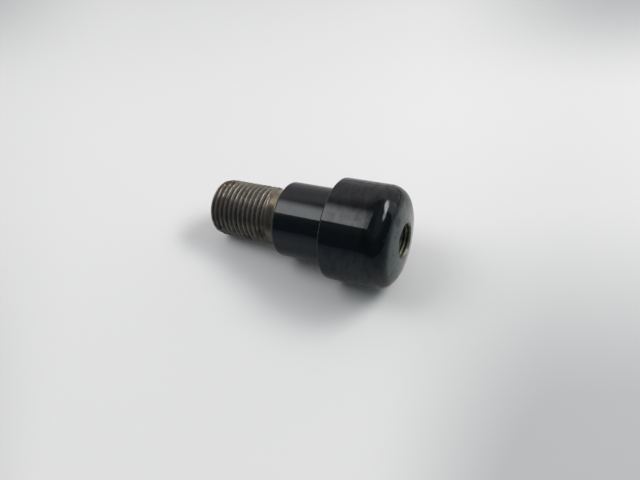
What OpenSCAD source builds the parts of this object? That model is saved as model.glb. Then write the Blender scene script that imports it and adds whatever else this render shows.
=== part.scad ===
// Bar end weight: one piece turned from steel bar.
// It stands on the end of its thread, with its head up.
// The axis is Z, and Z = 0 is the flat face at the thread's end.

/* [Threaded end] */
// Outer diameter of the thread
thread_d = 16; // [12:0.5:19]
// Distance from one turn of the thread to the next
thread_pitch = 1.5; // [1:0.25:2]
// Length of the thread, from the end face
thread_l = 18; // [8:0.5:30]
// Slope of the lead-in at the end of the thread, measured from the axis
lead_angle = 30; // [20:5:60]
// Length of the plain neck between the thread and the collar
neck_l = 3.5; // [2:0.5:12]
// Fillet in the corner between the neck and the collar
neck_fillet = 0.6; // [0.2:0.1:1.2]

/* [Collar] */
// Diameter of the collar, which fills the end of the grip
collar_d = 20.5; // [19.5:0.5:25]
// Length of the collar
collar_l = 15; // [6:0.5:30]
// Rounding of the collar's back edge
collar_edge = 0.6; // [0.2:0.1:1]

/* [Head] */
// Diameter of the head
head_d = 27.2; // [26:0.1:36]
// Length of the head, to the top of its crown
head_l = 18.5; // [14:0.5:30]
// Rounding of the head's back edge
back_edge = 0.5; // [0.2:0.1:1]
// Large rounding between the head's side and its crowned face
face_edge = 4.8; // [2:0.1:6]
// Radius of the crown that closes the head's face
crown_r = 39; // [30:1:80]

/* [Tapped hole] */
// Nominal diameter of the thread in the head
tap_d = 10; // [6:1:12]
// Pitch of the thread in the head
tap_pitch = 1; // [0.75:0.25:1.5]
// Depth of the hole's straight wall, from the top of the crown
tap_l = 18; // [10:0.5:30]
// Width of the chamfer at the hole's mouth
mouth_chamfer = 0.3; // [0.1:0.1:1]
// Angle of the drill's point at the bottom of the hole
drill_angle = 118; // [90:2:140]

/* [Hidden] */
$fn = 180;

// Basic sizes of a 60 degree thread, from its outer diameter and pitch
function root_d(outer_d, pitch) = outer_d - 1.2269 * pitch;
function rolled_blank_d(outer_d, pitch) = outer_d - 0.6495 * pitch;
function tapping_d(outer_d, pitch) = outer_d - 1.0825 * pitch;

thread_r = thread_d / 2;
end_r = root_d(thread_d, thread_pitch) / 2;
lead_l = (thread_r - end_r) / tan(lead_angle);
neck_r = rolled_blank_d(thread_d, thread_pitch) / 2;
collar_r = collar_d / 2;
head_r = head_d / 2;
hole_r = tapping_d(tap_d, tap_pitch) / 2;
mouth_r = hole_r + mouth_chamfer;

collar_z = thread_l + neck_l;
head_z = collar_z + collar_l;
top_z = head_z + head_l;
crown_z = top_z - crown_r;

// The centre of the large rounding, which touches the side and the crown
round_x = head_r - face_edge;
round_z = crown_z + sqrt(pow(crown_r - face_edge, 2) - pow(round_x, 2));

// A point on the line from the crown's centre through the rounding's, outside
out_scale = (crown_r + face_edge) / (crown_r - face_edge);
out_x = round_x * out_scale;
out_z = crown_z + (round_z - crown_z) * out_scale;

// The rounding stands this little proud, so that its arc crosses both neighbours
proud = 0.0005;

// The height of the hole's mouth, where its chamfer meets the crown
mouth_z = crown_z + sqrt(pow(crown_r, 2) - pow(mouth_r, 2));
chamfer_z = mouth_z - mouth_chamfer;
hole_z = top_z - tap_l;
point_z = hole_z - hole_r / tan(drill_angle / 2);

// A corner of two sides, closed by a round of radius r that touches both
module corner(r) {
    difference() {
        square(r);
        translate([r, r]) circle(r);
    }
}

// The outlines below are halves of the lengthwise section, right of the axis

module spigot_outline() {
    polygon([
        [0, 0],
        [end_r, 0],
        [thread_r, lead_l],
        [thread_r, thread_l - (thread_r - neck_r)],
        [neck_r, thread_l],
        [neck_r, collar_z],
        [0, collar_z]
    ]);
    translate([neck_r, collar_z]) mirror([0, 1]) corner(neck_fillet);
}

module collar_outline() {
    difference() {
        translate([0, collar_z]) square([collar_r, collar_l]);
        translate([collar_r, collar_z]) mirror([1, 0]) corner(collar_edge);
    }
}

// What is turned away outside the large rounding
module face_waste() {
    difference() {
        polygon([
            [round_x, round_z],
            [head_r + face_edge, round_z],
            [head_r + face_edge, out_z],
            [out_x, out_z]
        ]);
        translate([round_x, round_z]) circle(face_edge + proud);
    }
}

module head_outline() {
    difference() {
        intersection() {
            translate([0, head_z]) square([head_r, head_l]);
            translate([0, crown_z]) circle(crown_r);
        }
        translate([head_r, head_z]) mirror([1, 0]) corner(back_edge);
        face_waste();
    }
}

module hole_outline() {
    polygon([
        [0, point_z],
        [hole_r, hole_z],
        [hole_r, chamfer_z],
        [hole_r + tap_d, chamfer_z + tap_d],
        [0, chamfer_z + tap_d]
    ]);
}

module bar_end_weight() {
    color("#17191b")
    rotate_extrude()
    difference() {
        union() {
            spigot_outline();
            collar_outline();
            head_outline();
        }
        hole_outline();
    }
}

bar_end_weight();
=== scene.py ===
# %% [markdown]
# A bar end weight screws into the open end of a motorcycle's handlebar and damps its shake.
# The real one is a single bar of steel turned on a lathe: a threaded end, a smooth neck,
# a collar, and a fat head with a well rounded nose and a tapped hole in it. The collar and
# the head are sprayed gloss black, the thread is bare and has begun to rust.
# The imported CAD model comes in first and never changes. All looks are added over it.

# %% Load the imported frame
import math

import bmesh
import bpy
import numpy as np
from mathutils import Matrix, Vector


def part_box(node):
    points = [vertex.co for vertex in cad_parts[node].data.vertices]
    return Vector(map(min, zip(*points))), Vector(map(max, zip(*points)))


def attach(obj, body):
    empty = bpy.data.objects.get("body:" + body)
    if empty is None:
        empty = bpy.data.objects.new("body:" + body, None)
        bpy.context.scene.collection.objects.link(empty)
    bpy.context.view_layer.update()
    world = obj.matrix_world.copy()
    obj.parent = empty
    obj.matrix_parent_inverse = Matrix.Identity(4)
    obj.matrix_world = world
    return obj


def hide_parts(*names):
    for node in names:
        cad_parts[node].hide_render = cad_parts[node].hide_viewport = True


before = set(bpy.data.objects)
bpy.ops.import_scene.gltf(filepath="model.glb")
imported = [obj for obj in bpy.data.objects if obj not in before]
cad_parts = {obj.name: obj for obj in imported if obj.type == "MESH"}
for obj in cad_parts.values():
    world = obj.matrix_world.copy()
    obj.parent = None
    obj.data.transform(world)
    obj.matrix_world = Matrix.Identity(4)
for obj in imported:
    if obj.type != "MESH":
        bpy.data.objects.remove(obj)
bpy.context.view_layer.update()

MM = 0.001
NODE = "bar_end_weight"
node_low, node_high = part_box(NODE)
size_mm = [round(v / MM, 2) for v in node_high - node_low]
print("frame holds", sorted(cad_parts), "size in mm", size_mm)

# %% [markdown]
# The sizes that show in the outline are kept together, in metres. The two overall ones are
# read from the frame, the rest are the steps between. Heights count from the thread's end.

# %% Sizes of the turned outline
HEAD_R = (node_high.x - node_low.x) / 2
TOP_Z = node_high.z
THREAD_R = 7.97 * MM
THREAD_PITCH = 1.5 * MM
THREAD_FORM_H = 0.86 * MM
END_R = 7.08 * MM
NECK_R = 7.51 * MM
NECK_FILLET = 0.6 * MM
COLLAR_Z = 21.5 * MM
COLLAR_R = 10.25 * MM
COLLAR_ROUND = 0.6 * MM
HEAD_Z = 36.5 * MM
HEAD_BACK_ROUND = 0.5 * MM
NOSE_ROUND = 4.8 * MM
CROWN_R = 39.0 * MM
CROWN_CENTRE_Z = 16.0 * MM
MOUTH_R = 4.759 * MM
BORE_R = 4.459 * MM
BORE_ROOT_R = 5.0 * MM
BORE_PITCH = 1.0 * MM
BORE_END_Z = 37.0 * MM
DRILL_POINT_Z = 34.32 * MM
NOSE_Z = 49.048 * MM
print("head radius", round(HEAD_R / MM, 2), "mm, height", round(TOP_Z / MM, 2), "mm")

# %% [markdown]
# A lathe cuts an outline and spins it. The outline here is a list of points, each a radius
# and a height. A straight run gets evenly spaced points with two close ones at its ends,
# which keep the smooth shading of a corner from bending the long reflections beside it.

# %% Helpers for runs and rounded corners
def run(r0, z0, r1, z1, step=0.55 * MM, guard=0.07 * MM):
    """Points from one place to another, without the first, closer at both ends."""
    length = math.hypot(r1 - r0, z1 - z0)
    inner = max(1, round((length - 2 * guard) / step))
    stops = [guard + (length - 2 * guard) * i / inner for i in range(inner + 1)] + [length]
    return [(r0 + (r1 - r0) * s / length, z0 + (z1 - z0) * s / length) for s in stops]


def corner(centre_r, centre_z, radius, start, end, parts):
    """Points of an arc, without the first. Angles are in degrees from straight outward."""
    turns = [math.radians(start + (end - start) * i / parts) for i in range(1, parts + 1)]
    return [(centre_r + radius * math.cos(a), centre_z + radius * math.sin(a)) for a in turns]


# %% [markdown]
# The outline runs from the neck over the collar's back edge, along the collar, out to the
# head, over the nose and down to the hole's mouth. Every outer edge of the real part is
# broken by a small round, which catches a thin line of light.

# %% Outline of the neck, collar and head
PAINT_FILL = 0.18 * MM
MOUTH_ROUND = 0.12 * MM
RUNOUT_TOP_Z = 18.5 * MM
CHAMFER_ANGLE = 135
nose_turn = math.degrees(math.asin((NOSE_Z - CROWN_CENTRE_Z) / (CROWN_R - NOSE_ROUND)))
mouth_z = CROWN_CENTRE_Z + math.sqrt(CROWN_R**2 - MOUTH_R**2)
mouth_turn = math.degrees(math.acos(MOUTH_R / CROWN_R))
middle_turn = math.radians((mouth_turn + CHAMFER_ANGLE) / 2)
reach_in = MOUTH_ROUND / math.cos(math.radians((CHAMFER_ANGLE - mouth_turn) / 2))
mouth_centre_r = MOUTH_R - reach_in * math.cos(middle_turn)
mouth_centre_z = mouth_z - reach_in * math.sin(middle_turn)
crown_end_r = mouth_centre_r + MOUTH_ROUND * math.cos(math.radians(mouth_turn))
crown_end = math.degrees(math.acos(crown_end_r / CROWN_R))

outline = [(NECK_R, RUNOUT_TOP_Z)]
outline += run(*outline[-1], NECK_R, COLLAR_Z - NECK_FILLET, step=0.3 * MM)
outline += corner(NECK_R + NECK_FILLET, COLLAR_Z - NECK_FILLET, NECK_FILLET, 180, 90, 8)
outline += run(*outline[-1], COLLAR_R - COLLAR_ROUND, COLLAR_Z, step=0.3 * MM)
outline += corner(COLLAR_R - COLLAR_ROUND, COLLAR_Z + COLLAR_ROUND, COLLAR_ROUND, -90, 0, 8)
outline += run(*outline[-1], COLLAR_R, HEAD_Z - PAINT_FILL)
outline += corner(COLLAR_R + PAINT_FILL, HEAD_Z - PAINT_FILL, PAINT_FILL, 180, 90, 4)
outline += run(*outline[-1], HEAD_R - HEAD_BACK_ROUND, HEAD_Z)
outline += corner(HEAD_R - HEAD_BACK_ROUND, HEAD_Z + HEAD_BACK_ROUND, HEAD_BACK_ROUND, -90, 0, 8)
outline += run(*outline[-1], HEAD_R, NOSE_Z)
outline += corner(HEAD_R - NOSE_ROUND, NOSE_Z, NOSE_ROUND, 0, nose_turn, 18)
outline += corner(0, CROWN_CENTRE_Z, CROWN_R, nose_turn, crown_end, 9)
outline += corner(mouth_centre_r, mouth_centre_z, MOUTH_ROUND, mouth_turn, CHAMFER_ANGLE, 4)
print("painted outline:", len(outline), "points, nose meets crown at", round(nose_turn, 1), "degrees")

# %% [markdown]
# The skin of the part is one closed mesh, because the real part is one piece of steel. It
# grows ring by ring. Each point also carries three marks that the materials read later:
# how near an outer edge it is, how near an inner corner, and how deep in a thread's valley.
# Paint wears and dirt gathers by these, not by chance alone.

# %% Rings and the marks on them
AROUND = 192
PAINT, THREAD, HOLE = 0, 1, 2
OUTER_EDGES = [(COLLAR_R, COLLAR_Z), (HEAD_R, HEAD_Z), (MOUTH_R, mouth_z)]
INNER_CORNERS = [(NECK_R, COLLAR_Z), (COLLAR_R, HEAD_Z)]
WORN_WIDTH = 0.55 * MM
DIRTY_WIDTH = 0.8 * MM
turns = np.arange(AROUND) * (2 * math.pi / AROUND)
points = []
faces = []
zones = []
marks = {"outer_edge": [], "inner_corner": [], "valley": []}


def nearness(radius, height, places, width):
    """1 at one of the places and fading to 0 away from them."""
    gap = min(math.hypot(radius - r, height - z) for r, z in places)
    return math.exp(-((gap / width) ** 2))


def point(turn, radius, height, valley=0.0):
    """Adds one point of the skin with its marks, and returns its number."""
    points.append((radius * math.cos(turn), radius * math.sin(turn), height))
    marks["outer_edge"].append(nearness(radius, height, OUTER_EDGES, WORN_WIDTH))
    marks["inner_corner"].append(nearness(radius, height, INNER_CORNERS, DIRTY_WIDTH))
    marks["valley"].append(valley)
    return len(points) - 1


def ring(radius, height):
    return [point(turn, radius, height) for turn in turns]


def join(lower, upper, zone):
    """Skins the space between two rings. The lower one comes earlier along the outline."""
    for j in range(AROUND):
        k = (j + 1) % AROUND
        faces.append((lower[j], lower[k], upper[k], upper[j]))
        zones.append(zone)


def close(edge, height, zone, facing_up):
    """Fills a ring with one fan of triangles round a middle point."""
    middle = point(0.0, 0.0, height)
    for j in range(AROUND):
        k = (j + 1) % AROUND
        faces.append((edge[j], edge[k], middle) if facing_up else (edge[k], edge[j], middle))
        zones.append(zone)


# %% [markdown]
# A real thread isn't a stack of rings but one ridge that climbs as it turns, so the rows of
# faces climb too, and each crest stays sharp on a row of its own. At both ends the rows meet
# a level ring, and one triangle takes up the step. One function cuts both threads.

# %% Thread walls with climbing rows
CREST_ENDS = 0.055
ROOT_STARTS = 0.385
SOFTENED = 0.35
LEAST_ROW = 0.3


def held(share, low=0.0):
    return min(1.0, max(low, share))


def eased(share):
    """Held from 0 to 1, with a soft start and end."""
    share = held(share)
    return share * share * (3 - 2 * share)


def thread_form(part):
    """Height of a metric thread's ridge, 1 on the crest and 0 in the root, by the share of a turn."""
    part = abs((part + 0.5) % 1.0 - 0.5)
    rise = held((ROOT_STARTS - part) / (ROOT_STARTS - CREST_ENDS))
    return eased(rise) * SOFTENED + rise * (1 - SOFTENED)


def threaded_wall(lower, upper, z_low, z_high, pitch, crest_z, shares, shape, zone, inward=False):
    """Skins the wall between two level rings. Shape gives radius and valley at a turn and height."""
    rows = len(shares)
    margin = LEAST_ROW * pitch / rows
    columns = []
    for j in range(AROUND + 1):
        base = crest_z + pitch * j / AROUND
        first = math.floor((z_low - base) / pitch) * rows - rows
        last = math.ceil((z_high - base) / pitch) * rows + rows
        column = {}
        for k in range(first, last + 1):
            z = base + pitch * (k // rows + shares[k % rows])
            if z_low + margin < z < z_high - margin:
                column[k] = z
        columns.append(column)
    numbers = []
    for j in range(AROUND):
        placed = {}
        for k, z in columns[j].items():
            radius, valley = shape(turns[j], z)
            placed[k] = point(turns[j], radius, z, valley)
        numbers.append(placed)
    numbers.append({k: numbers[0][k + rows] for k in columns[AROUND]})
    for j in range(AROUND):
        a, b = numbers[j], numbers[j + 1]
        n = (j + 1) % AROUND
        low_a, low_b, high_a, high_b = min(a), min(b), max(a), max(b)
        added = []
        if low_b < low_a:
            added.append((lower[j], lower[n], b[low_b]))
            added.append((lower[j], b[low_b], b[low_a], a[low_a]))
        else:
            added.append((lower[j], lower[n], b[low_b], a[low_a]))
        for k in range(max(low_a, low_b), min(high_a, high_b)):
            added.append((a[k], b[k], b[k + 1], a[k + 1]))
        if high_b < high_a:
            added.append((a[high_b], b[high_b], upper[n], a[high_a]))
            added.append((a[high_a], upper[n], upper[j]))
        else:
            added.append((a[high_a], b[high_b], upper[n], upper[j]))
        faces.extend([f[::-1] for f in added] if inward else added)
        zones.extend([zone] * len(added))
    total = sum(len(c) for c in columns[:-1])
    print("thread wall:", total, "points,", round((z_high - z_low) / pitch, 1), "turns")


# %% [markdown]
# On the real part the first crests are low and blunt, from the chamfer that starts the
# thread and from years of knocks, and the last one fades into the smooth neck. So the ridge
# is held down by a lead at one end and blended to the neck's radius at the other. Seeded
# dents and a slight waviness are its wear.

# %% The outer thread's shape
OUTER_CREST_Z = 0.719 * MM
FADE_TOP_Z = 18.3 * MM
FADE_LENGTH = 1.5 * MM
WAVE_DEPTH = 0.018 * MM
WAVES = 14
KNOCKS = 30
KNOCK_REACH = 2.5
LEAD_HEIGHTS_MM = [0, 0.5, 2.2]
LEAD_RADII_MM = [END_R / MM, 7.5, 8.0]
chance = np.random.default_rng(16)
wave_turns = chance.integers(1, 15, WAVES)
wave_climb = chance.uniform(-2.2, 2.2, WAVES)
wave_start = chance.uniform(0, 2 * math.pi, WAVES)
knocks = []
for _ in range(KNOCKS):
    knock_turn = chance.uniform(0, 2 * math.pi)
    knock_z = chance.uniform(0.8, 16.5) * MM
    knock_size = chance.uniform(0.25, 0.6) * MM
    knock_depth = chance.uniform(0.06, 0.2) * MM
    knocks.append((knock_turn, knock_z, knock_size, knock_depth))


def waviness(turn, z):
    """About -1 to 1, slowly changing, and the same after a full turn."""
    return float(np.cos(wave_turns * turn + wave_climb * z / MM + wave_start).sum()) / 6


def dent(turn, z, radius):
    """How far the knocks push the surface in at this place."""
    push = 0.0
    for knock_turn, knock_z, size, depth in knocks:
        round_axis = radius * (abs((turn - knock_turn + math.pi) % (2 * math.pi) - math.pi))
        gap = math.hypot(round_axis, z - knock_z) / size
        if gap < KNOCK_REACH:
            push += depth * math.exp(-gap * gap)
    return push


def outer_thread(turn, z):
    ridge = thread_form((z - OUTER_CREST_Z) / THREAD_PITCH - turn / (2 * math.pi))
    fade = eased((FADE_TOP_Z - z) / FADE_LENGTH)
    radius = THREAD_R - THREAD_FORM_H * (1 - ridge)
    radius += WAVE_DEPTH * waviness(turn, z)
    radius -= dent(turn, z, THREAD_R) * ridge
    radius = NECK_R + (radius - NECK_R) * fade
    lead = float(np.interp(z / MM, LEAD_HEIGHTS_MM, LEAD_RADII_MM)) * MM
    return min(radius, lead), (1 - ridge) * fade


# %% [markdown]
# The thread's end is a flat turned face with its rim broken. It is closed from its middle
# outwards, and then the thread climbs to the neck.

# %% End face, thread and neck
RIM = 0.12 * MM
END_FACE_RADII = (0.6 * MM, 2.0 * MM, 3.6 * MM, 5.2 * MM, 6.5 * MM, END_R - 2 * RIM, END_R - RIM)
end_rings = [ring(r, 0.0) for r in END_FACE_RADII]
for r, z in corner(END_R - RIM, RIM, RIM, -90, -15, 4):
    end_rings.append(ring(r, z))
close(end_rings[0], 0.0, THREAD, facing_up=False)
for inner, outer in zip(end_rings, end_rings[1:]):
    join(inner, outer, THREAD)

OUTER_SHARES = [
    0, 0.035, 0.07, 0.12, 0.19, 0.26, 0.33, 0.40, 0.5, 0.60, 0.67, 0.74, 0.81, 0.88, 0.93, 0.965,
]
body_rings = [ring(r, z) for r, z in outline]
threaded_wall(
    end_rings[-1], body_rings[0], RIM, RUNOUT_TOP_Z, THREAD_PITCH, OUTER_CREST_Z,
    OUTER_SHARES, outer_thread, THREAD,
)

# %% [markdown]
# The spray was masked off at the neck, so everything from the top of the neck's fillet to
# the hole's mouth is painted and the neck itself is bare like the thread.

# %% Painted rings
PAINT_STARTS_R = 7.9 * MM
for (r, z), lower, upper in zip(outline, body_rings, body_rings[1:]):
    join(lower, upper, THREAD if r < PAINT_STARTS_R and z < COLLAR_Z else PAINT)
print("rings:", len(end_rings), "on the end and", len(body_rings), "on the body")

# %% [markdown]
# The hole takes a finer thread, which a smaller weight or a cap could screw into. Its mouth
# has a narrow chamfer, the thread fades out near the bottom, and below that the drill has
# left its cone.

# %% The tapped hole
BORE_CREST_Z = 0.3 * MM
BORE_SHARES = [0, 0.07, 0.2, 0.34, 0.5, 0.66, 0.8, 0.93]
BORE_FADE_Z = 37.4 * MM
MOUTH_FADE = 1.2 * MM
BORE_WAVE_DEPTH = 0.01 * MM


def bore_thread(turn, z):
    ridge = thread_form((z - BORE_CREST_Z) / BORE_PITCH - turn / (2 * math.pi))
    fade = held((z - BORE_FADE_Z) / FADE_LENGTH)
    fade *= held((mouth_z - z) / MOUTH_FADE, low=0.3)
    radius = BORE_R + (BORE_ROOT_R - BORE_R) * ridge * fade
    radius += BORE_WAVE_DEPTH * waviness(turn, z)
    chamfer = MOUTH_R - (mouth_z - z)
    return max(radius, chamfer), ridge * fade


bore_end = ring(BORE_R, BORE_END_Z)
threaded_wall(
    bore_end, body_rings[-1], BORE_END_Z, outline[-1][1], BORE_PITCH, BORE_CREST_Z,
    BORE_SHARES, bore_thread, HOLE, inward=True,
)
cone = [bore_end]
for share in (0.97, 0.6, 0.3, 0.1):
    cone.append(ring(BORE_R * share, DRILL_POINT_Z + (BORE_END_Z - DRILL_POINT_Z) * share))
for outer, inner in zip(cone, cone[1:]):
    join(outer, inner, HOLE)
close(cone[-1], DRILL_POINT_Z, HOLE, facing_up=True)

# %% [markdown]
# The lists become one Blender mesh. It is tested for being closed: in a closed skin every
# edge belongs to exactly two faces. Its volume is printed too.

# %% One closed mesh
mesh = bpy.data.meshes.new("bar_end_weight_skin")
mesh.from_pydata(points, [], faces)
mesh.polygons.foreach_set("material_index", zones)
mesh.shade_smooth()
for name, values in marks.items():
    mesh.attributes.new(name, "FLOAT", "POINT").data.foreach_set("value", values)
mesh.update()

test = bmesh.new()
test.from_mesh(mesh)
open_edges = sum(1 for e in test.edges if len(e.link_faces) != 2)
volume = test.calc_volume(signed=True)
test.free()
triangles = sum(len(f) - 2 for f in faces)
print("skin:", len(points), "points,", triangles, "triangles,", open_edges, "open edges")
print("volume:", round(volume / MM**3), "mm3")


def add_object(name, data):
    made = bpy.data.objects.new(name, data)
    bpy.context.scene.collection.objects.link(made)
    return made


weight = add_object("bar_end_weight_skin", mesh)
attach(weight, "root")
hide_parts(NODE)

# %% [markdown]
# The weight lies on its side on a sheet of pale paper, while its frame has the axis upright.
# Turning the part would break the frame, so the sheet is tilted to it. It touches the part
# at the head's back edge and at the thread. The tilt at which both reach equally far is
# found by halving.

# %% Lay the sheet against the part
THREAD_REACHES_Z = 16 * MM
STEEPEST_TILT = math.radians(30)
HALVINGS = 40
skin = np.array(points)
head_part = skin[skin[:, 2] > HEAD_Z]
thread_part = skin[skin[:, 2] < THREAD_REACHES_Z]


def reach(part, tilt):
    """How far a part reaches towards a sheet on the +Y side that leans by this much."""
    return float((part[:, 1] * math.cos(tilt) - part[:, 2] * math.sin(tilt)).max())


flat, steep = 0.0, STEEPEST_TILT
for _ in range(HALVINGS):
    tilt = (flat + steep) / 2
    if reach(head_part, tilt) > reach(thread_part, tilt):
        flat = tilt
    else:
        steep = tilt
sheet_up = Vector((0, -math.cos(tilt), math.sin(tilt)))
sheet_along = Vector((0, math.sin(tilt), math.cos(tilt)))
sheet_across = sheet_up.cross(sheet_along)
edge_on_sheet = Vector((0, HEAD_R, HEAD_Z + HEAD_BACK_ROUND))
edge_on_sheet -= sheet_up * (edge_on_sheet.dot(sheet_up) + reach(head_part, tilt))
print("sheet leans", round(math.degrees(tilt), 2), "degrees")

# %% [markdown]
# The camera is set up over the sheet by its distance, its steepness and its turn from the
# part's own axis. These were fitted to the part's outline in the photograph, with the sizes
# above. The lens takes in about 60 degrees.

# %% Camera
SIGHT_STEEPNESS = math.radians(45.385)
SIGHT_TURN = math.radians(115.18)
SIGHT_DISTANCE = 167.0 * MM
AIM_ALONG = -11.08 * MM
AIM_ACROSS = 5.81 * MM
LENS = 32.13
CLIP_START = 10 * MM


def put_at(thing, place, x_axis, y_axis, z_axis):
    """Puts an object at a place, with its axes turned to these."""
    turned = Matrix((x_axis, y_axis, z_axis)).transposed().to_4x4()
    thing.matrix_world = Matrix.Translation(place) @ turned


away = sheet_along * math.cos(SIGHT_TURN) + sheet_across * math.sin(SIGHT_TURN)
sight = away * math.cos(SIGHT_STEEPNESS) - sheet_up * math.sin(SIGHT_STEEPNESS)
sideways = sight.cross(sheet_up).normalized()
aim = edge_on_sheet + sheet_along * AIM_ALONG + sheet_across * AIM_ACROSS
camera_data = bpy.data.cameras.new("camera")
camera_data.lens = LENS
camera_data.clip_start = CLIP_START
camera = add_object("camera", camera_data)
put_at(camera, aim - sight * SIGHT_DISTANCE, sideways, sideways.cross(sight), -sight)
bpy.context.scene.camera = camera
print("camera at", [round(v / MM, 1) for v in camera.matrix_world.translation], "mm")

# %% [markdown]
# Materials are made of nodes, and writing each node by hand takes four lines. These helpers
# do it in one. A socket is named by its label, or by its number after an n where a node has
# several sockets of one name.

# %% Helpers for nodes
def node(tree, kind, settings=None, out=0, **sockets):
    """Adds a node, sets it up, and returns one of its outputs. Socket names use _ for a space."""
    made = tree.nodes.new("ShaderNode" + kind)
    for key, value in (settings or {}).items():
        setattr(made, key, value)
    for key, value in sockets.items():
        place = int(key[1:]) if key[0] == "n" and key[1:].isdigit() else key.replace("_", " ")
        if isinstance(value, bpy.types.NodeSocket):
            tree.links.new(value, made.inputs[place])
        else:
            made.inputs[place].default_value = value
    return made.outputs[out]


def calc(tree, operation, a, b=0.0, c=0.0, clamp=False):
    return node(tree, "Math", {"operation": operation, "use_clamp": clamp}, n0=a, n1=b, n2=c)


def product(tree, first, *others):
    for other in others:
        first = calc(tree, "MULTIPLY", first, other)
    return first


def strongest(tree, first, *others):
    for other in others:
        first = calc(tree, "MAXIMUM", first, other)
    return first


def add_shares(tree, total, *parts, clamp=False):
    """Adds to a total. Each part is a mask and its share. Clamp holds the sum from 0 to 1."""
    for number, (mask, share) in enumerate(parts, 1):
        held_now = clamp and number == len(parts)
        total = calc(tree, "MULTIPLY_ADD", mask, share, total, clamp=held_now)
    return total


def ease(tree, value, start, end, low=0.0, high=1.0):
    """Goes smoothly from low at start to high at end. Start may be the larger one."""
    settings = {"interpolation_type": "SMOOTHSTEP"}
    return node(tree, "MapRange", settings, n0=value, n1=start, n2=end, n3=low, n4=high)


def noise(tree, place, scale, detail, roughness):
    return node(tree, "TexNoise", Vector=place, Scale=scale, Detail=detail, Roughness=roughness)


def mix_colour(tree, share, a, b, blend="MIX"):
    settings = {"data_type": "RGBA", "blend_type": blend}
    return node(tree, "Mix", settings, out=2, n0=share, n6=a, n7=b)


def lay_over(tree, colour, *coats):
    """Lays coats over a colour. Each is a mask, how dense it gets, and the coat's colour."""
    for mask, density, coat in coats:
        colour = mix_colour(tree, product(tree, mask, density), colour, coat)
    return colour


def between(tree, value, limits):
    """1 inside and 0 outside. The limits are the rise's start and end, then the fall's."""
    rise, up, fall, down = limits
    return product(tree, ease(tree, value, rise, up), ease(tree, value, down, fall))


def vector_math(tree, operation, a, b=(0, 0, 0)):
    """Gives a vector, or a number where that is what the operation finds."""
    finds_number = operation in ("DOT_PRODUCT", "LENGTH", "DISTANCE")
    return node(tree, "VectorMath", {"operation": operation}, out=int(finds_number), n0=a, n1=b)


def dot(tree, a, b):
    return vector_math(tree, "DOT_PRODUCT", a, b)


def ramp(tree, value, stops):
    """A colour ramp. Stops are places from 0 to 1, each with a grey level or a colour."""
    made = tree.nodes.new("ShaderNodeValToRGB")
    tree.links.new(value, made.inputs[0])
    made.color_ramp.elements.remove(made.color_ramp.elements[1])
    for number, (place, colour) in enumerate(stops):
        stop = made.color_ramp.elements[0] if number == 0 else made.color_ramp.elements.new(place)
        stop.position = place
        stop.color = (*colour, 1) if isinstance(colour, tuple) else (colour, colour, colour, 1)
    return made.outputs[0]


def finish_with(tree, kind, surface):
    """Links a shader to the tree's output node."""
    tree.links.new(surface, tree.nodes.new("ShaderNodeOutput" + kind).inputs["Surface"])


def finish_material(material, relief, strength, depth, **sockets):
    """Gives a material its shader, with these sockets and an uneven surface."""
    tree = material.node_tree
    uneven = node(tree, "Bump", Strength=strength, Distance=depth, Height=relief)
    shader = node(tree, "BsdfPrincipled", Normal=uneven, **sockets)
    finish_with(tree, "Material", shader)
    print("finish", material.name, "has", len(tree.nodes), "nodes")


def new_material(name):
    material = bpy.data.materials.new(name)
    material.use_nodes = True
    material.node_tree.nodes.clear()
    return material, material.node_tree


# %% [markdown]
# The weight lies on plain matt paper, with painted shade that dims its corners and its front
# as in the photograph. Seen from below it would hide the part, so the camera looks through
# its back.
# The gloss paint mirrors more than the picture holds, and what it mirrors in front of the part
# is dark. So for every ray but the camera's, the paper past two lines in front of the part turns
# a dark blue-grey: painted shade, seen only in reflections and in bounced light. With it the
# black stripe melts softly into the paper's reflection, as on the real part.

# %% The sheet of paper
PAPER_SIZE = 2.4
LIGHTEST_SIDE_MM = -25.0
LIGHTEST_BACK_MM = 50.0
HALF_WIDTH_MM = 94.0
WIDENING = 0.4
SIDE_SHADE = (0.45, 1.1)
BACK_SHADE = (30.0, 125.0, 0.18, 1.0)
NEAR_SHADE = (90.0, -60.0, 0.0, 0.14)
REFLECTED_SHADE_BLUR_MM = 42.0
PAPER_COLOUR = (0.765, 0.740, 0.712, 1)
CORNER_SHADE_COLOUR = (0.47, 0.46, 0.45, 1)
REFLECTED_SHADE_COLOUR = (0.205, 0.310, 0.390, 1)
middle = sheet_up * -reach(head_part, tilt)
corners = [
    middle + (sheet_across * across + sheet_along * along) * (PAPER_SIZE / 2)
    for across, along in ((1, -1), (-1, -1), (-1, 1), (1, 1))
]
sheet_mesh = bpy.data.meshes.new("sheet")
sheet_mesh.from_pydata(corners, [], [(0, 1, 2, 3)])
sheet = add_object("sheet", sheet_mesh)

paper, tree = new_material("pale_paper")
spot = vector_math(tree, "SUBTRACT", node(tree, "TexCoord", out=3), aim)
to_back = dot(tree, spot, away / MM)
to_side = calc(tree, "SUBTRACT", dot(tree, spot, sideways / MM), LIGHTEST_SIDE_MM)
to_side = calc(tree, "ABSOLUTE", to_side)
half_width = calc(tree, "MULTIPLY_ADD", to_back, WIDENING, HALF_WIDTH_MM)
outward = ease(tree, calc(tree, "DIVIDE", to_side, half_width), *SIDE_SHADE)
off_middle = calc(tree, "ABSOLUTE", calc(tree, "SUBTRACT", to_back, LIGHTEST_BACK_MM))
off_middle = ease(tree, off_middle, *BACK_SHADE)
near = ease(tree, to_back, *NEAR_SHADE)
# Painted shade: the paper's colour darkens towards its corners and its front.
painted_shade = calc(tree, "ADD", product(tree, outward, off_middle), near, clamp=True)
tone = mix_colour(tree, painted_shade, PAPER_COLOUR, CORNER_SHADE_COLOUR)


def past_line(to_right, to_far, start):
    """How far in mm a spot lies past a line on the sheet, as seen from the camera."""
    facing = (sideways * to_right + away * to_far) / MM
    return calc(tree, "SUBTRACT", dot(tree, spot, facing), start)


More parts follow.
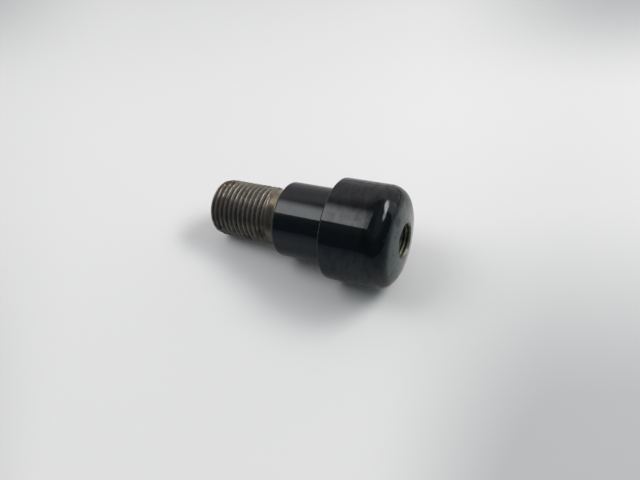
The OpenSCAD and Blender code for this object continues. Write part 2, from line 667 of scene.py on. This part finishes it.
past_side = past_line(-0.5, -0.87, 5.0)
past_nose = past_line(0.57, -0.82, 26.0)
beyond = strongest(tree, past_side, past_nose, 0.0)
beyond_edge = calc(tree, "DIVIDE", beyond, calc(tree, "ADD", beyond, REFLECTED_SHADE_BLUR_MM))
seen = node(tree, "LightPath", out=0)
# Painted shade for every ray but the camera's, past the two lines.
in_reflected_shade = product(tree, beyond_edge, calc(tree, "SUBTRACT", 1.0, seen))
tone = mix_colour(tree, in_reflected_shade, tone, REFLECTED_SHADE_COLOUR)
matt = node(tree, "BsdfPrincipled", Base_Color=tone, Roughness=0.9, Specular_IOR_Level=0.1)
clear = node(tree, "BsdfTransparent")
from_below = node(tree, "NewGeometry", out=6)
surface = node(tree, "MixShader", n0=product(tree, from_below, seen), n1=matt, n2=clear)
finish_with(tree, "Material", surface)
sheet_mesh.materials.append(paper)
print("sheet", PAPER_SIZE, "m wide")

# %% [markdown]
# Gloss black paint shows the room more than its own colour. So the room is built from what
# the paint in the photograph mirrors. Away from the camera are pale walls, brightest half-way
# up. Behind the camera it is darker, which makes the black stripe along the part. All of it
# is the world's colour, and lights the sheet and the part too.

# %% The room
BEHIND_TURN = 169
BEHIND_HALF_WIDTH = 83
BEHIND_BLUR = 3
LEFT_TO_RIGHT = (-0.6, 0.8)
PALE_WALL = [
    (0, 0.82), (8, 0.74), (13, 0.68), (31, 0.74), (42, 0.92),
    (46, 0.97), (50, 0.84), (53, 0.60), (57, 0.39), (90, 0.42),
]
DARK_WALL = [(0, 0.115), (27, 0.13), (35, 0.22), (45, 0.32), (60, 0.38), (90, 0.42)]
LEFT_TINT = (0.985, 0.96, 1.05, 1)
RIGHT_TINT = (0.98, 1.0, 0.97, 1)
DARK_TINT = (0.80, 1.0, 1.12, 1)


def toward(turn, steepness):
    """Direction over the sheet. Turn 0 is straight away from the camera, positive to its right."""
    turn, steepness = math.radians(turn), math.radians(steepness)
    level = away * math.cos(turn) + sideways * math.sin(turn)
    return level * math.cos(steepness) + sheet_up * math.sin(steepness)


world = bpy.data.worlds.new("room")
bpy.context.scene.world = world
world.use_nodes = True
tree = world.node_tree
tree.nodes.clear()
direction = node(tree, "TexCoord", out=0)
climb = dot(tree, direction, sheet_up)
height = calc(tree, "MULTIPLY", calc(tree, "ARCSINE", climb), 2 / math.pi, clamp=True)
level_part = calc(tree, "SUBTRACT", 1.0, calc(tree, "POWER", climb, 2.0))
level_part = calc(tree, "SQRT", level_part)
facing_back = calc(tree, "DIVIDE", dot(tree, direction, toward(BEHIND_TURN, 0)), level_part)
edge_in = math.cos(math.radians(BEHIND_HALF_WIDTH - BEHIND_BLUR))
edge_out = math.cos(math.radians(BEHIND_HALF_WIDTH + BEHIND_BLUR))
behind = ease(tree, facing_back, edge_out, edge_in)
pale = ramp(tree, height, [(steepness / 90, level) for steepness, level in PALE_WALL])
dark = ramp(tree, height, [(steepness / 90, level) for steepness, level in DARK_WALL])
to_the_right = ease(tree, dot(tree, direction, sideways), *LEFT_TO_RIGHT)
tint = mix_colour(tree, to_the_right, LEFT_TINT, RIGHT_TINT)
tint = mix_colour(tree, behind, tint, DARK_TINT)
walls = mix_colour(tree, behind, pale, dark)
tinted = mix_colour(tree, 1.0, walls, tint, blend="MULTIPLY")
finish_with(tree, "World", node(tree, "Background", n0=tinted, n1=1.0))
print("the dark side is", 2 * BEHIND_HALF_WIDTH, "degrees wide, round a turn of", BEHIND_TURN)

# %% [markdown]
# The windows are lamps with an area. One on the left makes the bright stripe along the
# collar and the head, and its light fades towards one end as behind a curtain. Two on the
# right make the spot on the nose. A lamp's own nodes can shade it: the left one is dimmed
# along its length, and the right ones from their middle outwards, which blurs them.

# %% Windows
WINDOW_DISTANCE = 0.45
WINDOW_COLOUR = (0.96, 0.98, 1.0)


def window(name, turn, steepness, wide, high, radiance, roll=0.0, curtain=None, blurred=None):
    """A lamp aimed at the part's middle, with its sizes in degrees as seen from there."""
    lamp = bpy.data.lights.new(name, "AREA")
    lamp.shape = "RECTANGLE"
    lamp.size = 2 * WINDOW_DISTANCE * math.tan(math.radians(wide / 2))
    lamp.size_y = 2 * WINDOW_DISTANCE * math.tan(math.radians(high / 2))
    lamp.energy = radiance * math.pi * lamp.size * lamp.size_y
    lamp.color = WINDOW_COLOUR
    out_from = toward(turn, steepness)
    level_axis = out_from.cross(sheet_up).normalized()
    over_axis = level_axis.cross(out_from)
    roll = math.radians(roll)
    long_axis = level_axis * math.cos(roll) + over_axis * math.sin(roll)
    short_axis = over_axis * math.cos(roll) - level_axis * math.sin(roll)
    place = Vector((0, 0, TOP_Z / 2)) + out_from * WINDOW_DISTANCE
    put_at(add_object(name, lamp), place, -long_axis, short_axis, out_from)
    lamp.use_nodes = True
    tree = lamp.node_tree
    strength = tree.nodes["Emission"].inputs["Strength"]
    here = vector_math(tree, "SUBTRACT", node(tree, "NewGeometry", out=0), place)
    if curtain:
        full_at, none_at = curtain
        along = dot(tree, here, long_axis * (math.degrees(1) / WINDOW_DISTANCE))
        tree.links.new(ease(tree, along, full_at, none_at, 1.0, 0.0), strength)
    if blurred:
        along = dot(tree, here, long_axis * 2 / lamp.size)
        over = dot(tree, here, short_axis * 2 / lamp.size_y)
        off = vector_math(tree, "LENGTH", node(tree, "CombineXYZ", X=along, Y=over))
        tree.links.new(ease(tree, off, 1.0, 1.0 - blurred), strength)
    print(name, "size", round(lamp.size, 3), "by", round(lamp.size_y, 3), "m")


window("left_window", -85.3, 55.4, wide=41.3, high=27.5, radiance=4.2, roll=41, curtain=(-0.4, 20.6))
window("right_window", 72, 50, wide=35, high=25, radiance=13.0, blurred=0.65)
window("right_window_small", 101, 49, wide=26, high=18, radiance=6.2, blurred=0.6)

# %% [markdown]
# Now the finishes. What more than one of them needs, such as patches, rust or scratches, is
# made once as a node group with named inputs and outputs, and then placed in each material
# with its own values.

# %% Helpers for node groups
def start_group(name, inputs, outputs):
    """A new group. Inputs have a start value, or None for a vector, and outputs a socket type."""
    group = bpy.data.node_groups.new(name, "ShaderNodeTree")
    for label, start in inputs.items():
        kind = "NodeSocketVector" if start is None else "NodeSocketFloat"
        made = group.interface.new_socket(name=label, in_out="INPUT", socket_type=kind)
        if start is not None:
            made.default_value = start
    for label, kind in outputs.items():
        group.interface.new_socket(name=label, in_out="OUTPUT", socket_type="NodeSocket" + kind)
    return group, group.nodes.new("NodeGroupInput").outputs, group.nodes.new("NodeGroupOutput").inputs


def place_group(tree, group, **sockets):
    """Places a group in a tree and returns its outputs."""
    placed = tree.nodes.new("ShaderNodeGroup")
    placed.node_tree = group
    placed.label = group.name
    for key, value in sockets.items():
        socket = placed.inputs[key.replace("_", " ")]
        if isinstance(value, bpy.types.NodeSocket):
            tree.links.new(value, socket)
        else:
            socket.default_value = value
    return placed.outputs


def attribute(tree, name):
    """One of the marks that were written on the mesh's points."""
    return node(tree, "Attribute", {"attribute_name": name}, out=2)


# %% [markdown]
# Everything on this part is a few millimetres across. This group turns Blender's object
# coordinates, which are metres in the part's own frame, into millimetres, and adds the
# radius and the height for what goes round the axis. Every finish starts from it.

# %% Group: the place on the part in millimetres
OUTPUTS = {"Place": "Vector", "Radius": "Float", "Height": "Float"}
millimetres, _, made = start_group("part_in_millimetres", {}, OUTPUTS)
place = node(millimetres, "TexCoord", out=3)
place = vector_math(millimetres, "MULTIPLY", place, [1 / MM] * 3)
level_place = vector_math(millimetres, "MULTIPLY", place, (1, 1, 0))
millimetres.links.new(place, made["Place"])
millimetres.links.new(vector_math(millimetres, "LENGTH", level_place), made["Radius"])
millimetres.links.new(node(millimetres, "SeparateXYZ", out=2, n0=place), made["Height"])
print("group", millimetres.name)

# %% [markdown]
# Patches are what most wear looks like: grease, dull spots, flakes of rust. A noise is cut
# at two levels, and how far apart they are makes a patch's edge sharp or soft. Stretch
# draws the patches out round the axis, as a cloth or a spanner would.

# %% Group: patches
INPUTS = {"Place": None, "Size": 2.0, "Stretch": 1.0, "Seed": 0.0, "From": 0.45, "To": 0.6}
patches, given, made = start_group("patches", INPUTS, {"Mask": "Float"})
along_axis = node(patches, "CombineXYZ", X=1.0, Y=1.0, Z=given["Stretch"])
stretched = vector_math(patches, "MULTIPLY", given["Place"], along_axis)
fineness = calc(patches, "DIVIDE", 1.0, given["Size"])
cloud = node(
    patches, "TexNoise", {"noise_dimensions": "4D"},
    Vector=stretched, W=given["Seed"], Scale=fineness, Detail=4.0, Roughness=0.6,
)
patches.links.new(ease(patches, cloud, given["From"], given["To"]), made["Mask"])


def patch(tree, place, seed, size, cut, stretch=1.0):
    """A mask of patches. Seed picks the pattern, and cut gives the two levels."""
    low, high = cut
    sockets = {"Place": place, "Seed": seed, "Size": size, "Stretch": stretch, "From": low, "To": high}
    return place_group(tree, patches, **sockets)["Mask"]


print("group", patches.name)

# %% [markdown]
# Fine scratches are long and thin and lie in several directions. The contour lines of a
# noise that is drawn out in one direction look like them: there is a line where the noise
# passes through its middle value.

# %% Group: fine scratches
INPUTS = {"Place": None, "Spacing": 1.5, "Width": 0.01, "Share": 0.5}
scratches, given, made = start_group("fine_scratches", INPUTS, {"Mask": "Float"})
SCRATCHED_WAYS = [(0.25, 0.0), (-0.5, 1.1), (1.35, 2.3)]
DRAWN_OUT = (1.0, 1.0, 0.018)
fineness = calc(scratches, "DIVIDE", 1.0, given["Spacing"])
ways = []
for lean, twist in SCRATCHED_WAYS:
    leaning = node(
        scratches, "VectorRotate", {"rotation_type": "EULER_XYZ"},
        Vector=given["Place"], Rotation=(lean, 0.3 * lean, twist),
    )
    lines = noise(scratches, vector_math(scratches, "MULTIPLY", leaning, DRAWN_OUT), fineness, 1.0, 0.4)
    from_line = calc(scratches, "ABSOLUTE", calc(scratches, "SUBTRACT", lines, 0.5))
    ways.append(ease(scratches, from_line, given["Width"], 0.0))
broken = patch(scratches, given["Place"], seed=7.0, size=3.0, cut=(0.62, 0.45))
kept = product(scratches, broken, given["Share"])
scratches.links.new(product(scratches, strongest(scratches, *ways), kept), made["Mask"])
print("group", scratches.name)

# %% [markdown]
# A turned surface keeps the fine rings of the lathe's tool, fainter through the paint. They
# depend on the radius and the height only. A trace of the place is added, so that no ring
# is perfect all the way round.

# %% Group: turning rings
INPUTS = {"Place": None, "Radius": 0.0, "Height": 0.0, "Spacing": 0.2}
rings, given, made = start_group("turning_rings", INPUTS, {"Ridges": "Float"})
WOBBLE = 0.02
section = node(rings, "CombineXYZ", X=given["Radius"], Y=given["Height"])
wobble = vector_math(rings, "MULTIPLY", given["Place"], [WOBBLE] * 3)
section = vector_math(rings, "ADD", section, wobble)
fineness = calc(rings, "DIVIDE", 1.0, given["Spacing"])
rings.links.new(noise(rings, section, fineness, 2.0, 0.6), made["Ridges"])
print("group", rings.name)

# %% [markdown]
# Some marks have a place of their own: a mauve mark on the nose, a rusty stretch at the start
# of the thread. This group makes one round a given point, with a ragged edge. The point is
# written as a turn about the axis, a radius and a height.

# %% Group: a mark at one place
def place_on_part(turn, from_axis, height):
    """A point in millimetres. Turn is in degrees about the axis, from X towards Y."""
    turn = math.radians(turn)
    return (from_axis * math.cos(turn), from_axis * math.sin(turn), height)


INPUTS = {"Place": None, "Where": None, "Size": 2.0, "Ragged": 0.8}
mark, given, made = start_group("mark_at_one_place", INPUTS, {"Mask": "Float"})
off = vector_math(mark, "DISTANCE", given["Place"], given["Where"])
raggedness = calc(mark, "SUBTRACT", noise(mark, given["Place"], 1.3, 4.0, 0.65), 0.5)
raggedness = product(mark, raggedness, given["Ragged"])
off = calc(mark, "ADD", calc(mark, "DIVIDE", off, given["Size"]), raggedness)
mark.links.new(ease(mark, off, 1.0, 0.55), made["Mask"])


def marks_at(tree, place, places):
    """A mask for each mark. Each is written as a turn, a radius, a height and a size."""
    masks = []
    for turn, from_axis, up, size in places:
        where = place_on_part(turn, from_axis, up)
        masks.append(place_group(tree, mark, Place=place, Where=where, Size=size)["Mask"])
    return masks


print("group", mark.name)

# %% [markdown]
# Rust isn't one colour. Young rust is orange and thin, old rust dark brown and thick, and
# both lie in spots beside each other. Amount says how far it has got at a place, and the
# group gives a mask, a colour and how far the rust stands up.

# %% Group: rust
INPUTS = {"Place": None, "Amount": 0.4, "Size": 1.5}
OUTPUTS = {"Mask": "Float", "Colour": "Color", "Crust": "Float"}
rust, given, made = start_group("rust", INPUTS, OUTPUTS)
RUST_AGES = [
    (0.34, (0.026, 0.019, 0.016)), (0.48, (0.055, 0.037, 0.030)),
    (0.60, (0.100, 0.062, 0.046)), (0.72, (0.150, 0.100, 0.075)),
]
RUST_LEVEL = 0.86
RUST_GROWTH = 0.62
RUST_EDGE = (-0.10, 0.14)
fineness = calc(rust, "DIVIDE", 1.0, given["Size"])
spread = noise(rust, given["Place"], fineness, 5.0, 0.65)
level = calc(rust, "SUBTRACT", RUST_LEVEL, calc(rust, "MULTIPLY", given["Amount"], RUST_GROWTH))
rust_mask = ease(rust, calc(rust, "SUBTRACT", spread, level), *RUST_EDGE)
age = noise(rust, given["Place"], 2.6, 3.0, 0.7)
grains = noise(rust, given["Place"], 9.0, 3.0, 0.7)
rust.links.new(rust_mask, made["Mask"])
rust.links.new(ramp(rust, age, RUST_AGES), made["Colour"])
rust.links.new(product(rust, rust_mask, grains), made["Crust"])
print("group", rust.name)

# %% [markdown]
# The paint is sprayed gloss black: a black base without shine under the shader's coat, which
# is the clear, hard surface. Years of hands and gloves have left it smeared: where it is
# greasy or dull the coat mirrors less. The smears run round the part, most of them on the
# head. Dust lies on the crown, and knocks have let rust through in small spots.

# %% Finish: gloss black paint
INK = (0.0018, 0.0028, 0.0040, 1)
GREASE = (0.0040, 0.0036, 0.0034, 1)
GREEN_SMEAR = (0.0012, 0.0034, 0.0022, 1)
DUST = (0.0620, 0.0740, 0.0660, 1)
SIDE_GLOSS = 0.72
HEAD_R_MM = 13.6
STRIPE_TURN = 303
DUSTY_TURN = 125
MAUVE_TINT = (0.034, 0.031, 0.036, 1)
REDDISH_SPOT = (0.085, 0.040, 0.034, 1)
OLIVE_SPOT = (0.060, 0.052, 0.036, 1)
MAUVE_PLACES = [(278, 11.7, 52.6, 2.1), (286, 8.1, 54.15, 1.7)]
DULL_PLACES = [(298, 13.6, 44.7, 2.8)]
OLIVE_PLACES = [(234, 11.4, 53.1, 1.2)]
REDDISH_PLACES = [(272, 11.6, 52.9, 0.75), (30, 4.6, 54.7, 1.0)]
GREEN_PLACES = [(317, 13.6, 46.8, 3.0), (266, 12.3, 52.4, 1.2), (9, 13.4, 47.0, 3.2)]
NOSE_HEIGHTS = (51.4, 52.8)
NOSE_RADII = (6.4, 8.0)
MOUTH_RADII = (6.0, 5.1)
DUST_LEAN = 0.16
DUST_BORDER = (12.0, 9.6)
DUST_HEIGHTS = (52.0, 53.0)
RUBBED_HEIGHTS = (46.4, 49.4, 50.2, 51.2)
RUBBED_SIDE = (0.80, 0.94)
PRIMER = (0.090, 0.085, 0.080, 1)

paint, tree = new_material("gloss_black_paint")
place, radius, height = place_group(tree, millimetres)
outer_edge = attribute(tree, "outer_edge")
inner_corner = attribute(tree, "inner_corner")
on_head = ease(tree, height, HEAD_Z / MM, HEAD_Z / MM + 4, 0.3, 1.0)
nose_band = product(tree, ease(tree, height, *NOSE_HEIGHTS), ease(tree, radius, *NOSE_RADII))
at_mouth = ease(tree, radius, *MOUTH_RADII)
lean = dot(tree, place, place_on_part(DUSTY_TURN, DUST_LEAN, 0))
on_crown = ease(tree, calc(tree, "SUBTRACT", radius, lean), *DUST_BORDER)
on_crown = product(tree, on_crown, ease(tree, height, *DUST_HEIGHTS))
towards_stripe = dot(tree, place, place_on_part(STRIPE_TURN, 1 / HEAD_R_MM, 0))
rubbed = product(tree, between(tree, height, RUBBED_HEIGHTS), ease(tree, towards_stripe, *RUBBED_SIDE))

smears = patch(tree, place, seed=11.0, size=2.6, cut=(0.44, 0.62), stretch=2.2)
spots = patch(tree, place, seed=12.0, size=0.8, cut=(0.50, 0.62), stretch=1.3)
smears = product(tree, add_shares(tree, smears, (spots, 0.45)), on_head)
green = patch(tree, place, seed=13.0, size=3.4, cut=(0.56, 0.66))
green = strongest(tree, green, *marks_at(tree, place, GREEN_PLACES))
# Mauve and reddish marks on the nose, a little lighter than the black paint.
mauve_marks = strongest(tree, *marks_at(tree, place, MAUVE_PLACES))
olive_spot, = marks_at(tree, place, OLIVE_PLACES)
reddish = strongest(tree, *marks_at(tree, place, REDDISH_PLACES))
dull_spot, = marks_at(tree, place, DULL_PLACES)
scratched, = place_group(tree, scratches, Place=place, Spacing=1.6, Width=0.009, Share=0.6)
turned, = place_group(tree, rings, Place=place, Radius=radius, Height=height, Spacing=0.7)

flakes = patch(tree, place, seed=14.0, size=0.5, cut=(0.56, 0.64))
chipped = product(tree, flakes, ease(tree, outer_edge, 0.35, 0.9))
rust_amount = add_shares(
    tree, 0.10, (nose_band, 0.20), (at_mouth, 0.20), (inner_corner, 0.26), (outer_edge, 0.12)
)
rusty, rust_tone, crust = place_group(tree, rust, Place=place, Amount=rust_amount, Size=1.1)

colour = lay_over(
    tree, INK, (smears, 0.6, GREASE), (on_crown, 1.0, DUST), (green, 0.6, GREEN_SMEAR),
    (mauve_marks, 0.8, MAUVE_TINT), (olive_spot, 0.7, OLIVE_SPOT), (reddish, 0.5, REDDISH_SPOT),
    (scratched, 0.10, PRIMER), (chipped, 1.0, PRIMER), (rusty, 0.6, rust_tone),
)
dulled = add_shares(
    tree, product(tree, rubbed, 0.45), (smears, 0.24), (turned, product(tree, nose_band, 0.25)),
    (scratched, 0.2), (chipped, 0.8), (mauve_marks, 0.3), (dull_spot, 0.13), (rusty, 0.7), clamp=True,
)
full_gloss = add_shares(tree, SIDE_GLOSS, (on_crown, 1.0 - SIDE_GLOSS))
gloss = product(tree, calc(tree, "SUBTRACT", 1.0, dulled, clamp=True), full_gloss)
roughness = add_shares(tree, 0.28, (smears, 0.2), (rusty, 0.4), clamp=True)
peel = noise(tree, place, 1.6, 2.0, 0.5)
relief = add_shares(tree, peel, (crust, 1.5), (chipped, -0.8))
finish_material(
    paint, relief, strength=0.35, depth=0.04 * MM,
    Base_Color=colour, Roughness=roughness, Specular_IOR_Level=0.0,
    Coat_Weight=gloss, Coat_Roughness=0.055,
)

# %% [markdown]
# The bare steel of the neck and the thread was once plated with thin yellow zinc. Little is
# left of it: the crests are rubbed to grey metal, the neck still has a brassy sheen, some
# patches are pinkish, and old oil has turned to brown dirt in the valleys. Part of the
# darkening is painted shade: on the lower side, on the side at a turn of about 322 degrees
# with its neck, and in a film on the upper side. The colours are mixed first and the dirt,
# the painted shade and the rust laid over them, in the order in which they came.

# %% Finish: worn steel of the thread
GREY_STEEL = (0.265, 0.243, 0.209, 1)
YELLOW_ZINC = (0.290, 0.252, 0.130, 1)
PINKISH_STEEL = (0.310, 0.245, 0.210, 1)
OLIVE_FILM_AND_SHADE = (0.130, 0.135, 0.110, 1)
OLD_OIL_AND_SHADE = (0.034, 0.032, 0.028, 1)
BLACK_MIST = (0.004, 0.004, 0.005, 1)
NECK_GRIME_AND_SHADE = (0.013, 0.010, 0.005, 1)
SHADED_UNDERSIDE_TURN = 15
SHADED_NECK_TURN = 322
SHADED_FRONT_TURN = 323
SHADED_TOP_TURN = 262
SHADED_UNDERSIDE = (0.45, 0.95)
SHADED_FRONT_SIDE = (0.86, 0.98)
SHADED_TOP_SIDE = (0.75, 0.97)
SHADED_TOP_HEIGHTS = (5.0, 10.0, 13.5, 16.0)
SHADED_NECK_SIDE = (0.80, 0.96)
SHADED_NECK_HEIGHTS = (17.3, 18.6, 19.6, 20.4)
NECK_HEIGHTS = (16.6, 18.2)
START_HEIGHTS = (6.5, 1.0)
MIST_HEIGHTS = (21.35, 21.75)
RUSTY_PLACES = [(310, 7.8, 4.2, 2.2), (28, 7.8, 10.7, 2.2), (255, 7.8, 2.5, 1.8), (0, 7.8, 16.5, 1.8)]
PINK_PLACES = [(277, 7.8, 15.6, 3.2), (258, 7.8, 4.0, 3.0), (285, 7.8, 17.2, 2.0), (275, 7.8, 2.5, 3.0)]

steel, tree = new_material("worn_thread_steel")
place, radius, height = place_group(tree, millimetres)
valley = attribute(tree, "valley")
on_neck = ease(tree, height, *NECK_HEIGHTS)
at_start = ease(tree, height, *START_HEIGHTS)
outward = vector_math(tree, "NORMALIZE", vector_math(tree, "MULTIPLY", place, (1, 1, 0)))


def on_side(turn, limits):
    """1 on the side of the part that faces a turn. The limits are cosines."""
    return ease(tree, dot(tree, outward, place_on_part(turn, 1.0, 0)), *limits)


yellow = patch(tree, place, seed=1.0, size=4.0, cut=(0.50, 0.66), stretch=0.7)
yellow = strongest(tree, yellow, product(tree, on_neck, 0.75))
pink = patch(tree, place, seed=2.0, size=3.0, cut=(0.48, 0.60), stretch=0.6)
pink = strongest(tree, pink, *marks_at(tree, place, PINK_PLACES))
olive_and_shade = patch(tree, place, seed=3.0, size=5.0, cut=(0.50, 0.62), stretch=0.5)
# Painted shade: on the upper side, between 5 and 16 mm up, the olive film darkens the steel.
top_film_and_shade = product(tree, on_side(SHADED_TOP_TURN, SHADED_TOP_SIDE), between(tree, height, SHADED_TOP_HEIGHTS))
olive_and_shade = strongest(tree, olive_and_shade, product(tree, top_film_and_shade, 0.9))
metal = mix_colour(tree, yellow, GREY_STEEL, YELLOW_ZINC)
metal = lay_over(tree, metal, (pink, 0.7, PINKISH_STEEL), (olive_and_shade, 0.55, OLIVE_FILM_AND_SHADE))

oil_spread = patch(tree, place, seed=4.0, size=1.2, cut=(0.30, 0.62), stretch=0.5)
in_valley = ease(tree, valley, 0.35, 0.95)
dull = patch(tree, place, seed=5.0, size=2.2, cut=(0.45, 0.65), stretch=0.8)
# Old oil in the valleys and dull patches, and painted shade: the lower side and the side at a turn of
# 323 degrees are darkened too.
oil_and_shade = strongest(
    tree,
    product(tree, in_valley, add_shares(tree, 0.5, (oil_spread, 0.5))),
    product(tree, dull, 0.35),
    product(tree, on_side(SHADED_UNDERSIDE_TURN, SHADED_UNDERSIDE), add_shares(tree, 0.34, (on_neck, 0.25))),
    product(tree, on_side(SHADED_FRONT_TURN, SHADED_FRONT_SIDE), 0.76),
)
# Brown grime on the neck's side at a turn of 322 degrees, which is also painted shade.
neck_grime_and_shade = product(tree, on_side(SHADED_NECK_TURN, SHADED_NECK_SIDE), between(tree, height, SHADED_NECK_HEIGHTS))

rusty_spots = [(spot, 0.32) for spot in marks_at(tree, place, RUSTY_PLACES)]
rust_amount = add_shares(tree, 0.36, (valley, 0.14), (at_start, 0.22), *rusty_spots)
rusty, rust_tone, crust = place_group(tree, rust, Place=place, Amount=rust_amount, Size=1.6)

mist_edge = patch(tree, place, seed=6.0, size=0.9, cut=(0.3, 0.7))
mist = ease(tree, add_shares(tree, height, (mist_edge, 0.7)), *MIST_HEIGHTS)

colour = lay_over(
    tree, metal, (oil_and_shade, 1.0, OLD_OIL_AND_SHADE), (neck_grime_and_shade, 0.95, NECK_GRIME_AND_SHADE), (rusty, 1.0, rust_tone),
    (mist, 1.0, BLACK_MIST),
)
covered = strongest(tree, rusty, mist, product(tree, oil_and_shade, 0.8), product(tree, neck_grime_and_shade, 0.9))
metallic = calc(tree, "SUBTRACT", 1.0, covered, clamp=True)
turned, = place_group(tree, rings, Place=place, Radius=radius, Height=height, Spacing=0.11)
scratched, = place_group(tree, scratches, Place=place, Spacing=0.9, Width=0.02, Share=0.6)
roughness = add_shares(tree, 0.20, (turned, 0.16), (dull, 0.12), (covered, 0.35), clamp=True)
pits = noise(tree, place, 5.0, 4.0, 0.7)
relief = add_shares(tree, pits, (turned, 0.25), (crust, 1.2), (scratched, -0.3))
finish_material(
    steel, relief, strength=0.5, depth=0.06 * MM,
    Base_Color=colour, Metallic=metallic, Roughness=roughness, Specular_IOR_Level=0.35,
)

# %% [markdown]
# Nothing ever rubs the inside of the tapped hole, so its steel is darker than the thread's:
# brown oil and rust lie in it, the rust thicker the deeper one looks, and only the crests near
# the mouth still catch the light. Its colour also darkens with depth: that is painted shade.

# %% Finish: dark steel of the hole
HOLE_STEEL = (0.275, 0.252, 0.190, 1)
HOLE_DIRT_AND_SHADE = (0.012, 0.010, 0.008, 1)
DEEP_HEIGHTS = (53.5, 46.0)

hole, tree = new_material("dark_hole_steel")
place, radius, height = place_group(tree, millimetres)
valley = attribute(tree, "valley")
deep = ease(tree, height, *DEEP_HEIGHTS)
dirt = patch(tree, place, seed=21.0, size=1.0, cut=(0.36, 0.60), stretch=0.6)
# Painted shade: the colour darkens deeper in the hole, on top of the dirt and the valleys.
dirt_and_shade = add_shares(tree, product(tree, dirt, 0.5), (valley, 0.35), (deep, 0.4), clamp=True)
rust_amount = add_shares(tree, 0.42, (deep, 0.12))
rusty, rust_tone, crust = place_group(tree, rust, Place=place, Amount=rust_amount, Size=1.2)
colour = lay_over(tree, HOLE_STEEL, (dirt_and_shade, 1.0, HOLE_DIRT_AND_SHADE), (rusty, 0.7, rust_tone))
covered = strongest(tree, rusty, product(tree, dirt_and_shade, 0.8))
metallic = calc(tree, "SUBTRACT", 1.0, covered, clamp=True)
turned, = place_group(tree, rings, Place=place, Radius=radius, Height=height, Spacing=0.1)
roughness = add_shares(tree, 0.26, (covered, 0.4), (turned, 0.1), clamp=True)
relief = add_shares(tree, turned, (crust, 1.2))
finish_material(
    hole, relief, strength=0.5, depth=0.05 * MM,
    Base_Color=colour, Metallic=metallic, Roughness=roughness, Specular_IOR_Level=0.35,
)

# %% [markdown]
# The skin's faces were numbered for paint, thread and hole when they were made. The
# finishes go into the mesh's slots in that order.

# %% Put the finishes on the skin
for finish in (paint, steel, hole):
    mesh.materials.append(finish)
counts = [zones.count(zone) for zone in (PAINT, THREAD, HOLE)]
print("faces by finish:", dict(zip([m.name for m in mesh.materials], counts)))

# %% [markdown]
# Last, the colours are shown as they are, without a film look.

# %% Finish
bpy.context.scene.view_settings.view_transform = "Standard"
